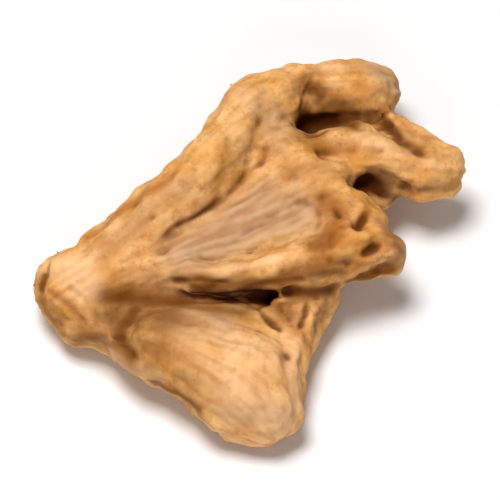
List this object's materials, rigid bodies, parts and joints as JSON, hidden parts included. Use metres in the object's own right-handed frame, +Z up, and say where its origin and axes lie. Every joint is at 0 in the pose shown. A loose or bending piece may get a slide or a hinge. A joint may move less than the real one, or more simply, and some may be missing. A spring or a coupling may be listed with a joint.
{
  "type": "dried ginger root",
  "caption": "Dried ginger root: one shrunken, wrinkled rhizome with a neck, a ridged hand of short fingers and a broad lower lobe that it lies on.",
  "frame": {"origin": "on the surface that the root lies on, below the middle of its box", "axes": "+Z up from the surface, +X from the neck towards the fingers, +Y from the lower lobe towards the upper finger"},
  "size_m": [0.0766, 0.0782, 0.0232],
  "materials": {
    "dry_skin": "matte"
  },
  "bodies": {
    "root": {"ginger_root": "dry_skin"}
  },
  "joints": []
}
